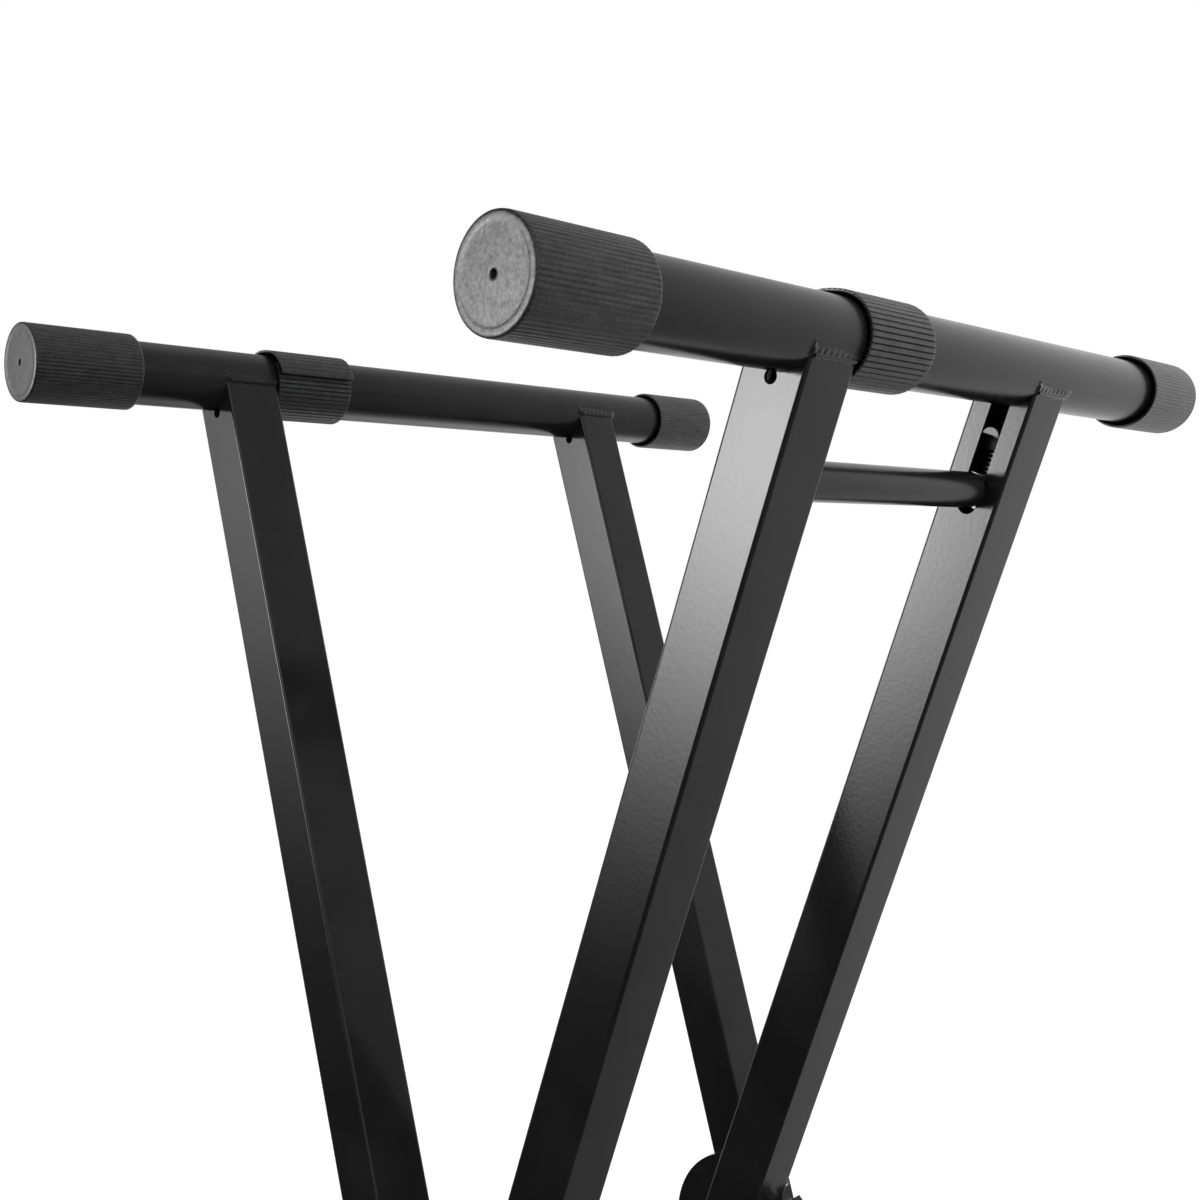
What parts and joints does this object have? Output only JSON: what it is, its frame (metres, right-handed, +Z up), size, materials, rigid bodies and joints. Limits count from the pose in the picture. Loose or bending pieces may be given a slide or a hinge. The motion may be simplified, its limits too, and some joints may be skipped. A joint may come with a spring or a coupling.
{
  "type": "dj stand",
  "caption": "Folding X-frame stand with square double legs, round rubber-capped arms and bases, a squeeze release bar and notched lock discs.",
  "frame": {"origin": "on the floor at the middle of the stand, straight under the pivots", "axes": "+X across the stand from the outer frame's arm to the inner frame's arm, +Y along the arms, +Z up"},
  "size_m": [0.3784, 0.5, 1.0134],
  "materials": {
    "black_powder_coat": "satin",
    "cap_rubber": "matt",
    "sleeve_rubber": "matt",
    "black_block": "satin",
    "zinc_plate": "satin",
    "spring_steel": "satin",
    "nylon": "satin"
  },
  "bodies": {
    "frame_a": {"arm_tube_a": "black_powder_coat", "base_tube_a": "black_powder_coat", "leg_a_near": "black_powder_coat", "leg_a_far": "black_powder_coat", "arm_cap_a_near": "cap_rubber", "arm_cap_a_far": "cap_rubber", "foot_cap_a_near": "cap_rubber", "foot_cap_a_far": "cap_rubber", "sleeve_a": "sleeve_rubber", "return_spring_near": "spring_steel", "return_spring_far": "spring_steel", "spring_stop_near": "zinc_plate", "spring_stop_far": "zinc_plate"},
    "frame_b": {"arm_tube_b": "black_powder_coat", "base_tube_b": "black_powder_coat", "leg_b_near": "black_powder_coat", "leg_b_far": "black_powder_coat", "arm_cap_b_near": "cap_rubber", "arm_cap_b_far": "cap_rubber", "foot_cap_b_near": "cap_rubber", "foot_cap_b_far": "cap_rubber", "sleeve_b": "sleeve_rubber", "lock_disc_near": "black_powder_coat", "lock_disc_far": "black_powder_coat", "pivot_bolt_near": "zinc_plate", "pivot_bolt_far": "zinc_plate", "pivot_spacer_near": "nylon", "pivot_spacer_far": "nylon", "pivot_washers": "zinc_plate", "pivot_nuts": "zinc_plate"},
    "release": {"release_bar": "black_powder_coat", "slider_near": "zinc_plate", "slider_far": "zinc_plate", "head_block_near": "black_block", "head_block_far": "black_block", "rod_nuts": "zinc_plate", "link_spring_near": "spring_steel", "link_spring_far": "spring_steel", "pull_rod_near": "zinc_plate", "pull_rod_far": "zinc_plate", "lock_pawl_near": "zinc_plate", "lock_pawl_far": "zinc_plate"}
  },
  "joints": [
    {"name": "fold", "type": "hinge", "parent": "frame_a", "child": "frame_b", "pos_m": [0, 0, 0.49433], "axis": [0, -1, 0], "range_deg": [-32.5, 62.4]},
    {"name": "squeeze_release", "type": "slide", "parent": "frame_a", "child": "release", "axis": [0.3223, 0, 0.9466], "range_m": [-0.0073, 0.006], "stiffness_N_per_m": 3000, "springref_m": 0.003, "deforming": ["return_spring_near", "return_spring_far"]}
  ]
}
